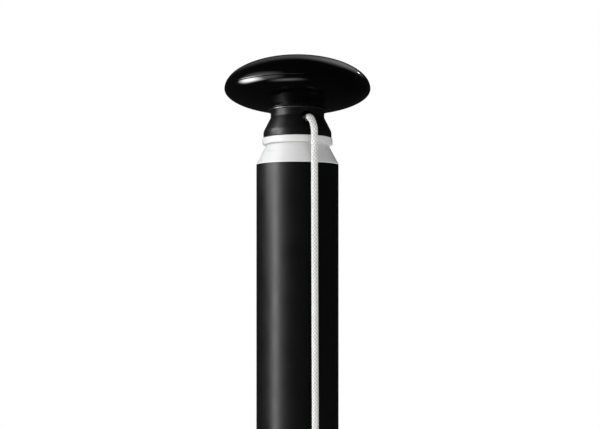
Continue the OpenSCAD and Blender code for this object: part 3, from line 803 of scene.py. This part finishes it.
class FLAGPOLE_OT_halyard(Operator):
    """Makes the braided halyard from the cleat, up through the neck and back, and whips its ends together"""
    bl_idname = "flagpole.halyard"
    bl_label = "Halyard"

    def seen_close(self, line):
        """Whether the rope is seen from close by at each point: near the head but not inside the neck, at the
        hooks and on the cleat."""
        x, y, height = line.T
        shown = (height > FRONT_BRAID_FOOT) & ~((np.abs(y) < IN_NECK_HALF) & (height > IN_NECK_FOOT))
        shown &= (y < 0) | (height > REAR_BRAID_FOOT)
        shown |= height < CLEAT_BRAID_TOP
        for level in HOOK_LEVELS.values():
            shown |= (np.abs(height - level) < HOOK_BRAID_HALF) & (y < -TUBE_RADIUS) & (x > 0)
        return shown

    def stations(self, line, along, fine):
        """Distances along the rope where it has a ring of points, and whether the braid is real at each."""
        shown = self.seen_close(line)
        stops = [0, *(np.flatnonzero(np.diff(shown.astype(int))) + 1), len(line) - 1]
        places, braided = [], []
        for first, last in zip(stops, stops[1:]):
            real = bool(shown[min(first + 1, len(line) - 1)])
            start, end = along[first], along[last]
            if real:
                count = max(2, round((end - start) / fine))
            else:
                curved = min(line[first, 2], line[last, 2]) > NEAR_NECK
                count = max(2, math.ceil((end - start) / (2 * MM if curved else 20 * MM)))
            places += list(np.linspace(start, end, count, endpoint=False))
            braided += [real] * count
        return np.array([*places, along[-1]]), np.array([*braided, braided[-1]])

    def braid(self, places, braided, turn, sizes):
        """Radius of each point of the rings, from the strand that is on top there."""
        along = places[:, None] * sizes.strands / sizes.lay
        right, left = turn * sizes.strands + along, turn * sizes.strands - along
        top_right = (np.floor(right + 1e-6) + np.floor(left + 1e-6)) % 2 < 0.5
        crown_right, crown_left = (1 - (2 * (strand % 1) - 1) ** 2 for strand in (right, left))
        crown = np.where(top_right, crown_right * (0.45 + 0.55 * crown_left),
                         crown_left * (0.45 + 0.55 * crown_right))
        # The relief fades into the plain tube over a few millimetres
        ends = places[np.flatnonzero(np.diff(braided.astype(int)))]
        fade = np.min(np.abs(places[:, None] - ends[None, :]), axis=1) / (6 * MM)
        fade = np.clip(fade, 0, 1) * braided
        plain = sizes.diameter / 2 - 0.4 * sizes.relief
        return plain + fade[:, None] * (sizes.diameter / 2 - sizes.relief * (1 - crown) - plain)

    def skin(self, places, offset, around):
        """Triangles between the rings and flat ends, with their UVs: once round, and metres along."""
        faces, uvs = [], []
        one, rings = 1 / around, len(places)
        for i in range(rings - 1):
            a, b = i * around, (i + 1) * around
            v0, v1 = places[i], places[i + 1]
            for k in range(around):
                n = (k + 1) % around
                low, high = (k + offset[i]) / around, (k + offset[i + 1]) / around
                if offset[i] > offset[i + 1]:
                    faces += [(a + k, b + n, b + k), (a + k, a + n, b + n)]
                    uvs += [(low, v0), (high + one, v1), (high, v1), (low, v0), (low + one, v0), (high + one, v1)]
                else:
                    faces += [(a + k, a + n, b + k), (a + n, b + n, b + k)]
                    uvs += [(low, v0), (low + one, v0), (high, v1), (low + one, v0), (high + one, v1), (high, v1)]
        faces += [tuple(range(around))[::-1], tuple((rings - 1) * around + k for k in range(around))]
        return faces, uvs + [(0, 0)] * (2 * around)

    def whipping(self):
        """Fine twine round both ends of the rope, where they meet on the cleat."""
        twine, turns, span, radius = 0.26 * MM, 26, 13 * MM, ROPE_RADIUS - 0.05 * MM
        path = [(TURN_SIDE + radius * math.cos(FULL_TURN * turns * s),
                 TURN_FRONT[1] + radius * math.sin(FULL_TURN * turns * s),
                 TURN_MIDDLE + span * (s - 0.5)) for s in np.linspace(0, 1, turns * 20 + 1)]
        return settle(piece("end_whipping", *swept(path, twine, 6), whipping_twine(), 60), "pole", "rope")

    def execute(self, context):
        sizes = context.scene.flagpole_halyard
        line, along = smooth_line(halyard_route())
        around = sizes.strands * 6
        places, braided = self.stations(line, along, sizes.lay / (2 * around))
        centre, across, up = (np.stack([np.interp(places, along, values[:, k]) for k in range(3)], axis=1)
                              for values in (line, *frames_along(line)))
        # Every other ring of the braid is turned by half a step
        offset = np.where(braided & (np.arange(len(places)) % 2 == 1), 0.5, 0.0)
        turn = (np.arange(around)[None, :] + offset[:, None]) / around
        radius, angle = self.braid(places, braided, turn, sizes), turn * FULL_TURN
        points = centre[:, None] + radius[..., None] * (
            np.cos(angle)[..., None] * across[:, None] + np.sin(angle)[..., None] * up[:, None])
        faces, uvs = self.skin(places, offset, around)
        rope = piece("halyard", points.reshape(-1, 3), faces, braided_rope(context.scene.flagpole_colours, sizes), 180)
        layer = rope.data.uv_layers.new(name="along")
        layer.data.foreach_set("uv", np.array(uvs, np.float32).ravel())
        rope.visible_glossy = False

        whipping = self.whipping()
        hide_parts("halyard_bridge", "halyard_front_leg", "halyard_rear_leg", "halyard_wrap", "halyard_turns")
        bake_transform(rope)
        return {"FINISHED"}


class FLAGPOLE_OT_finial(Operator):
    """Makes the two polished shells of the finial"""
    bl_idname = "flagpole.finial"
    bl_label = "Finial"

    def shell(self, name, height, floor, material, sizes):
        """One shell: an ellipse turned round the axis, rounded at the seam. A negative height goes down. A shell
        with a floor is cut off flat there, as a height over the seam."""
        r, wall = sizes.seam_rounding, math.copysign(sizes.shell_wall, height)
        side = math.copysign(1, height)
        outer = [(FINIAL_RADIUS - r + r * math.cos(t), SEAM + side * (r + r * math.sin(t)))
                 for t in np.linspace(-math.pi / 2, 0, 7)]
        steps = 72
        for k in range(1, steps + 1):
            t = math.pi / 2 * k / steps
            radius, level = FINIAL_RADIUS * math.cos(t), height * math.sin(t)
            if abs(level) > 1.2 * r and (floor is None or abs(level) < abs(floor)):
                outer.append((max(0, radius), SEAM + level))
        inner = []
        for k in range(steps, -1, -1):
            t = math.pi / 2 * k / steps
            level = (height - wall) * math.sin(t)
            if floor is None or abs(level) < abs(floor) - sizes.shell_wall:
                inner.append(((FINIAL_RADIUS - sizes.shell_wall) * max(0, math.cos(t)), SEAM + level))
        if floor is not None:
            foot_radius = FINIAL_RADIUS * math.sqrt(1 - (floor / height) ** 2)
            outer += [(foot_radius, SEAM + floor), (STUB_BORE, SEAM + floor)]
            inner = [(STUB_BORE, SEAM + floor + sizes.shell_wall)] + inner
        outline = outer + inner
        if height < 0:
            outline = outline[::-1]
        return turned(name, outline, material, sizes.segments, 25)

    def execute(self, context):
        sizes, colours = context.scene.flagpole_sizes, context.scene.flagpole_colours
        gloss = polished_black(colours)
        upper = self.shell("finial_crown", POLE_TOP - SEAM, None, gloss, sizes)
        settle(upper, "head", "gloss_black", "finial_upper_shell")
        lower = self.shell("finial_belly", -LOWER_SHELL_DEPTH, LOWER_SHELL_FOOT - SEAM, gloss, sizes)
        settle(lower, "head", "gloss_black", "finial_lower_shell")
        light_apart(upper, lower)
        return {"FINISHED"}


class FLAGPOLE_OT_neck(Operator):
    """Makes the satin neck with its flared skirt, rim and halyard hole"""
    bl_idname = "flagpole.neck"
    bl_label = "Neck"

    def execute(self, context):
        sizes, colours = context.scene.flagpole_sizes, context.scene.flagpole_colours
        satin = satin_black(colours)
        bead = 0.78 * MM
        rim = turned("rim_bead", rounded([
            (STUB_BORE, RIM_LOW.z), (RIM_HIGH.x, RIM_LOW.z, bead), (RIM_HIGH.x, RIM_HIGH.z, bead),
            (STUB_BORE, RIM_HIGH.z)]), polished_rim(colours), sizes.segments, 40)
        settle(rim, "head", "neck_black", "neck_rim")
        light_apart(rim)

        neck, foot = sizes.neck_radius, NECK_FOOT
        # Up the bore of the spindle, down the hollow of the skirt, up the outside and over the stub
        bolt, bolt_top, boss, hollow, hollow_top = 5.05 * MM, TUBE_TOP + 35.3 * MM, 10 * MM, 27.1 * MM, foot + 8 * MM
        straight = [(neck, foot + (18.9 + 5.3 * k / 8) * MM) for k in range(1, 8)]
        stub = 12 * MM
        outline = rounded([
            (0, bolt_top), (bolt, bolt_top), (bolt, foot), (boss, foot), (boss, hollow_top), (hollow, hollow_top),
            (hollow, foot), (SKIRT_RADIUS, foot, 0.6 * MM), (SKIRT_RADIUS, foot + 5.5 * MM, 7 * MM),
            (neck, foot + 18.6 * MM, 10 * MM), *straight, (neck, RIM_LOW.z), (stub, RIM_LOW.z),
            (stub, STUB_TOP, 0.8 * MM), (0, STUB_TOP)], 4)
        body = turned("neck_body", outline, satin, sizes.segments, 30)
        hole, lip = sizes.hole_radius, 0.6 * MM
        mouth = [(hole + lip - lip * math.cos(t), neck - lip + lip * math.sin(t))
                 for t in np.linspace(0, math.pi / 2, 9)]
        past = neck + 8 * MM
        half = [(hole, 0), *mouth, (hole + lip, past), (0, past)]
        drill = [(r, -y) for r, y in half[::-1]] + half[1:]
        cut(body, moved(lathe(drill, 96), at(0, 0, HOLE_LEVEL) @ ON_ITS_SIDE), 30)
        settle(body, "head", "neck_black", "truck_neck")
        return {"FINISHED"}


class FLAGPOLE_OT_bearing(Operator):
    """Makes the white bearing ring and the white cone that closes the tube"""
    bl_idname = "flagpole.bearing"
    bl_label = "Bearing and adapter"

    def execute(self, context):
        sizes, colours = context.scene.flagpole_sizes, context.scene.flagpole_colours
        # The ring lies on the cone, and its narrow boss reaches down into it
        bolt, boss, foot, top, radius = 5.08 * MM, 11 * MM, RING_LOW.z, RING_HIGH.z, RING_HIGH.x
        seat = top - 6 * MM
        ring = turned("bearing_washer", rounded([
            (bolt, foot), (boss, foot, 0.4 * MM), (boss, seat), (radius, seat, 0.7 * MM),
            (radius, top, 0.6 * MM), (bolt, top)]),
            white_plastic("bearing_white", colours.bearing, 0.32), sizes.segments, 40)
        settle(ring, "pole", "white_ring", "bearing_ring")
        ring.visible_glossy = False

        inner, bore = 30.8 * MM, 11.2 * MM
        spigot, cone_radius = TUBE_RADIUS - sizes.tube_wall - 0.2 * MM, 28.2 * MM
        low, under = TUBE_TOP - 60 * MM, CONE_TOP - 6 * MM
        cone = turned("tube_cone", rounded([
            (bore, under), (24.2 * MM, under), (inner, TUBE_TOP), (inner, low),
            (spigot, low, 0.8 * MM), (spigot, TUBE_TOP), (TUBE_RADIUS, TUBE_TOP, 0.25 * MM),
            (TUBE_RADIUS, TUBE_TOP + 0.8 * MM, 0.6 * MM), (cone_radius, CONE_TOP, 0.5 * MM), (bore, CONE_TOP)]),
            white_plastic("adapter_white", colours.adapter, 0.3), sizes.segments, 25)
        settle(cone, "pole", "white_adapter", "adapter_cone")
        cone.visible_glossy = False
        return {"FINISHED"}


class FLAGPOLE_OT_tube(Operator):
    """Makes the coated tube"""
    bl_idname = "flagpole.tube"
    bl_label = "Tube"

    def execute(self, context):
        sizes, colours = context.scene.flagpole_sizes, context.scene.flagpole_colours
        bore = TUBE_RADIUS - sizes.tube_wall
        levels = np.linspace(TUBE_LOW.z, TUBE_TOP, 25)[1:-1]
        outline = rounded([(bore, TUBE_LOW.z), (TUBE_RADIUS, TUBE_LOW.z, 0.3 * MM)]
                          + [(TUBE_RADIUS, z) for z in levels]
                          + [(TUBE_RADIUS, TUBE_TOP, 0.35 * MM), (bore, TUBE_TOP, 0.2 * MM)])
        tube = turned("coated_tube", outline, powder_coat("tube_coat", colours.tube, 0.36, 900), sizes.segments, 40)
        settle(tube, "pole", "black_tube", "pole_tube")
        return {"FINISHED"}


class FLAGPOLE_OT_cleat(Operator):
    """Makes the moulded cleat"""
    bl_idname = "flagpole.cleat"
    bl_label = "Cleat"

    def stadium(self, half_width, half_length, out, sides=72):
        """A ring round the stem's section at a distance out from the axis."""
        straight = half_length - half_width
        ring = []
        for k in range(sides):
            turn = FULL_TURN * k / sides
            shift = math.copysign(straight, math.sin(turn)) if k % (sides // 2) else 0
            ring.append((half_width * math.cos(turn), -out, CLEAT_MIDDLE + shift + half_width * math.sin(turn)))
        return ring

    def execute(self, context):
        half = (CLEAT_HIGH.z - CLEAT_LOW.z) / 2
        horn_axis, thick, tip, flat = 69.8 * MM, 10.4 * MM, 4.5 * MM, 14 * MM
        # The horns taper from the stem to round tips
        profile = [(0.0, -half)]
        for k in range(1, 10):
            turn = math.pi / 2 * k / 9
            profile.append((tip * math.sin(turn), -half + tip * (1 - math.cos(turn))))
        for k in range(1, 25):
            share = k / 24
            height = -half + tip + (half - tip - flat) * share
            profile.append((tip + (thick - tip) * math.sin(math.pi / 2 * share) ** 1.3, height))
        profile += [(r, -z) for r, z in profile[::-1]]
        horns = moved(lathe(profile, 64), at(0, -horn_axis, CLEAT_MIDDLE))
        # The stem flares into the pad and the horns: distance out from the axis, and growth
        stem = lofted([self.stadium(9 * MM + grow, 20 * MM + grow, out) for out, grow in mm(
            (43, 2.2), (45.4, 2.2), (46.2, 1.2), (47.4, 0.3), (48.6, 0), (56.6, 0), (57.8, 0.3), (59.0, 1.1),
            (60.4, 2.0), (69, -3))])
        # The pad's face is rounded off: distance out from the axis, and inset
        pad_rings = []
        for out, inset in ((33, 0), (43.3, 0), (44.2, 0.3), (44.9, 0.9), (45.4, 1.9), (45.5, 3.0)):
            half_width, half_length = (13 - inset) * MM, (42 - inset) * MM
            square = rounded_square(half_width, max(7 - inset, 1) * MM, 0)
            pad_rings.append([(x, -out * MM, CLEAT_MIDDLE + y + math.copysign(half_length - half_width, y))
                              for x, y, level in square])
        cleat = piece("moulded_cleat", *joined(horns, stem, lofted(pad_rings)), black_nylon())
        # One skin over the three shapes, with their joints eased
        skin = cleat.modifiers.new("skin", "REMESH")
        skin.mode, skin.voxel_size = "VOXEL", 0.0009
        ease = cleat.modifiers.new("ease", "SMOOTH")
        ease.factor, ease.iterations = 0.5, 4
        applied(cleat)
        # The pad's back is hollowed to the tube
        saddle, reach = TUBE_RADIUS + 0.2 * MM, 60 * MM
        tube = lathe([(0, -reach), (saddle, -reach), (saddle, reach), (0, reach)], 256)
        cut(cleat, moved(tube, at(0, 0, CLEAT_MIDDLE)), 50)
        cleat.data.polygons.foreach_set("use_smooth", [True] * len(cleat.data.polygons))
        settle(cleat, "pole", "cleat_black", "cleat")
        return {"FINISHED"}


class FLAGPOLE_OT_foot(Operator):
    """Makes the welded foot: base plate, sleeve, gussets and weld beads"""
    bl_idname = "flagpole.foot"
    bl_label = "Foot"

    def bead(self, path, radius):
        """A weld bead along a path, with the ripples that its passes leave."""
        path = np.asarray(path, float)
        along = np.concatenate([[0], np.cumsum(np.linalg.norm(np.diff(path, axis=0), axis=1))])
        place = np.linspace(0, along[-1], max(8, int(along[-1] / (0.6 * MM))))
        line = np.stack([np.interp(place, along, path[:, k]) for k in range(3)], axis=1)
        ripple = 0.9 + 0.1 * np.abs(np.sin(math.pi * place / (2.6 * MM)))
        ends = np.clip(np.minimum(place, along[-1] - place) / radius, 0.12, 1) ** 0.5
        return swept(line, radius * ripple * ends, 10)

    def execute(self, context):
        colours = context.scene.flagpole_colours
        coat = powder_coat("foot_coat", colours.foot, 0.42, 700)
        edge = 1.2 * MM
        rings = [(0.4 * MM, 0), (0, 0.4 * MM)]
        rings += [(edge * (1 - math.cos(t)), PLATE_TOP - edge + edge * math.sin(t))
                  for t in np.linspace(0, math.pi / 2, 6)]
        plate = piece("foot_plate", *lofted([rounded_square(PLATE_HALF - inset, PLATE_ROUNDING - inset, level)
                                             for inset, level in rings]), coat, 40)
        drill = lathe([(0, -MM), (ANCHOR_RADIUS, -MM), (ANCHOR_RADIUS, PLATE_TOP - 0.8 * MM),
                       (ANCHOR_RADIUS + 1.8 * MM, PLATE_TOP + MM), (0, PLATE_TOP + MM)], 64)
        cut(plate, joined(*[moved(drill, at(x, y, 0)) for x in (-ANCHOR_SPACING, ANCHOR_SPACING)
                            for y in (-ANCHOR_SPACING, ANCHOR_SPACING)]), 40)
        settle(plate, "pole", "base_black", "base_plate")

        sleeve = turned("foot_sleeve", rounded([
            (SLEEVE_RADIUS - SLEEVE_WALL, PLATE_TOP), (SLEEVE_RADIUS, PLATE_TOP), (SLEEVE_RADIUS, SLEEVE_TOP, 0.9 * MM),
            (SLEEVE_RADIUS - SLEEVE_WALL, SLEEVE_TOP, 0.5 * MM)]), coat, 128, 40)
        settle(sleeve, "pole", "base_black", "base_sleeve")

        inner, half = SLEEVE_RADIUS + 0.2 * MM, GUSSET_THICK / 2
        outline = rounded([(inner, PLATE_TOP), (GUSSET_OUT, PLATE_TOP), (GUSSET_OUT, PLATE_TOP + GUSSET_LIP, 2 * MM),
                           (SLEEVE_RADIUS + GUSSET_LIP, GUSSET_TOP, 2 * MM), (inner, GUSSET_TOP)])
        web = lofted([[(r, side * half, z) for r, z in outline] for side in (1, -1)])
        quarter = [Matrix.Rotation(math.pi / 2 * k, 4, "Z") for k in range(4)]
        gussets = piece("foot_gussets", *joined(*[moved(web, turn) for turn in quarter]), coat, 40)
        bevel = gussets.modifiers.new("edges", "BEVEL")
        bevel.width, bevel.segments, bevel.limit_method = 0.7 * MM, 2, "ANGLE"
        applied(gussets)
        gussets.data.set_sharp_from_angle(angle=math.radians(40))
        settle(gussets, "pole", "base_black", "base_gussets")

        low, ring = PLATE_TOP + 1.3 * MM, SLEEVE_RADIUS + 1.3 * MM
        beads = []
        for k in range(4):
            start, end = (math.pi / 2 * k + math.asin((half + 1.5 * MM) / ring),
                          math.pi / 2 * (k + 1) - math.asin((half + 1.5 * MM) / ring))
            beads.append(self.bead([(ring * math.cos(t), ring * math.sin(t), low)
                                    for t in np.linspace(start, end, 60)], 3.0 * MM))
            for side in (-1, 1):
                off = side * (half + 0.9 * MM)
                foot_bead = self.bead([(ring + MM, off, PLATE_TOP + 0.9 * MM),
                                       (GUSSET_OUT - 3 * MM, off, PLATE_TOP + 0.9 * MM)], 2.3 * MM)
                side_bead = self.bead([(SLEEVE_RADIUS + 0.8 * MM, off, PLATE_TOP + 2 * MM),
                                       (SLEEVE_RADIUS + 0.8 * MM, off, GUSSET_TOP - 2 * MM)], 2.2 * MM)
                beads += [moved(foot_bead, quarter[k]), moved(side_bead, quarter[k])]
        settle(piece("foot_welds", *joined(*beads), weld_metal(colours), 70), "pole", "base_black")
        return {"FINISHED"}


class FLAGPOLE_OT_fasteners(Operator):
    """Makes the clamp screws and the cleat's screws, and gives the spindle and its washer their finish"""
    bl_idname = "flagpole.fasteners"
    bl_label = "Fasteners"

    def hex_screw(self):
        """A clamp screw: shank and chamfered hexagon head, along Z from the sleeve's outside."""
        half, height, shank, plain = 6.5 * MM, 5.25 * MM, 3.9 * MM, np.ones(ROUND)
        rings = [(plain * shank, -4.2 * MM), (plain * shank, 0.02 * MM)]
        # The hexagon's corners are turned down at both ends of the head
        for level, limit in ((0.02 * MM, 1.05), (0.35 * MM, 1.13), (height - 1.1 * MM, 1.16),
                             (height - 0.6 * MM, 1.08), (height - 0.15 * MM, 0.99), (height, 0.95)):
            rings.append((np.minimum(hexagon(2 * half), half * limit), level))
        return polar([*rings, (plain * half * 0.6, height), (plain * half * 0.55, height - 0.15 * MM)])

    def socket_screw(self):
        """A cleat screw: shank and domed head with a hexagon socket, along Z from the pad's face."""
        head, height, shank = 4.5 * MM, 3 * MM, 2.45 * MM
        socket, plain = hexagon(3 * MM), np.ones(ROUND)
        rings = [(plain * shank, -14 * MM), (plain * shank, 0), (plain * head * 0.97, 0), (plain * head, 0.3 * MM)]
        rings += [(plain * (head * math.cos(t) * 0.45 + head * 0.55), 0.5 * MM + (height - 0.5 * MM) * math.sin(t))
                  for t in np.linspace(0.1, math.pi / 2, 8)]
        rings += [(socket + 0.15 * MM, height), (socket, height - 0.15 * MM), (socket, height - 1.7 * MM),
                  (socket * 0.1, height - 2.1 * MM)]
        return polar(rings)

    def execute(self, context):
        steel = stainless_steel()
        clamps = []
        for level in CLAMP_LEVELS:
            for side in (1, -1):
                clamps.append(moved(self.hex_screw(), at(side * (SLEEVE_RADIUS + 0.2 * MM), 0, level)
                                    @ Matrix.Rotation(side * math.pi / 2, 4, "Y")))
        settle(piece("hex_clamp_screws", *joined(*clamps), steel, 30), "pole", "stainless", "clamp_screws")
        pad_face, spread = -45.5 * MM, 33 * MM
        screws = [moved(self.socket_screw(), at(0, pad_face, CLEAT_MIDDLE + side * spread) @ ON_ITS_SIDE)
                  for side in (1, -1)]
        settle(piece("cleat_socket_screws", *joined(*screws), steel, 30), "pole", "stainless", "cleat_screws")
        for name in ("spindle_bolt", "spindle_washer"):
            data = bpy.data.objects[name].data
            data.materials.clear()
            data.materials.append(steel)
        return {"FINISHED"}


STEPS = ("stage", "flag_hooks", "halyard", "finial", "neck", "bearing", "tube", "cleat", "foot", "fasteners")


class FLAGPOLE_PT_pieces(Panel):
    """Lists the steps that build the flagpole"""
    bl_idname = "FLAGPOLE_PT_pieces"
    bl_label = "Flagpole"
    bl_space_type = "VIEW_3D"
    bl_region_type = "UI"
    bl_category = "Flagpole"

    def draw(self, context):
        for step in STEPS:
            self.layout.operator("flagpole." + step)
        for group in (context.scene.flagpole_sizes, context.scene.flagpole_halyard, context.scene.flagpole_colours,
                      context.scene.flagpole_stage):
            box = self.layout.box()
            for name in group.__annotations__:
                box.prop(group, name)


CLASSES = (FlagpoleSizes, HalyardSizes, FlagpoleColours, StageSettings, FLAGPOLE_OT_stage, FLAGPOLE_OT_flag_hooks,
           FLAGPOLE_OT_halyard, FLAGPOLE_OT_finial, FLAGPOLE_OT_neck, FLAGPOLE_OT_bearing, FLAGPOLE_OT_tube,
           FLAGPOLE_OT_cleat, FLAGPOLE_OT_foot, FLAGPOLE_OT_fasteners, FLAGPOLE_PT_pieces)


def register():
    for cls in CLASSES:
        bpy.utils.register_class(cls)
    bpy.types.Scene.flagpole_sizes = PointerProperty(type=FlagpoleSizes)
    bpy.types.Scene.flagpole_halyard = PointerProperty(type=HalyardSizes)
    bpy.types.Scene.flagpole_colours = PointerProperty(type=FlagpoleColours)
    bpy.types.Scene.flagpole_stage = PointerProperty(type=StageSettings)


def unregister():
    for name in ("flagpole_sizes", "flagpole_halyard", "flagpole_colours", "flagpole_stage"):
        delattr(bpy.types.Scene, name)
    for cls in reversed(CLASSES):
        bpy.utils.unregister_class(cls)


def main():
    register()
    for step in STEPS:
        getattr(bpy.ops.flagpole, step)()


if __name__ == "__main__":
    main()
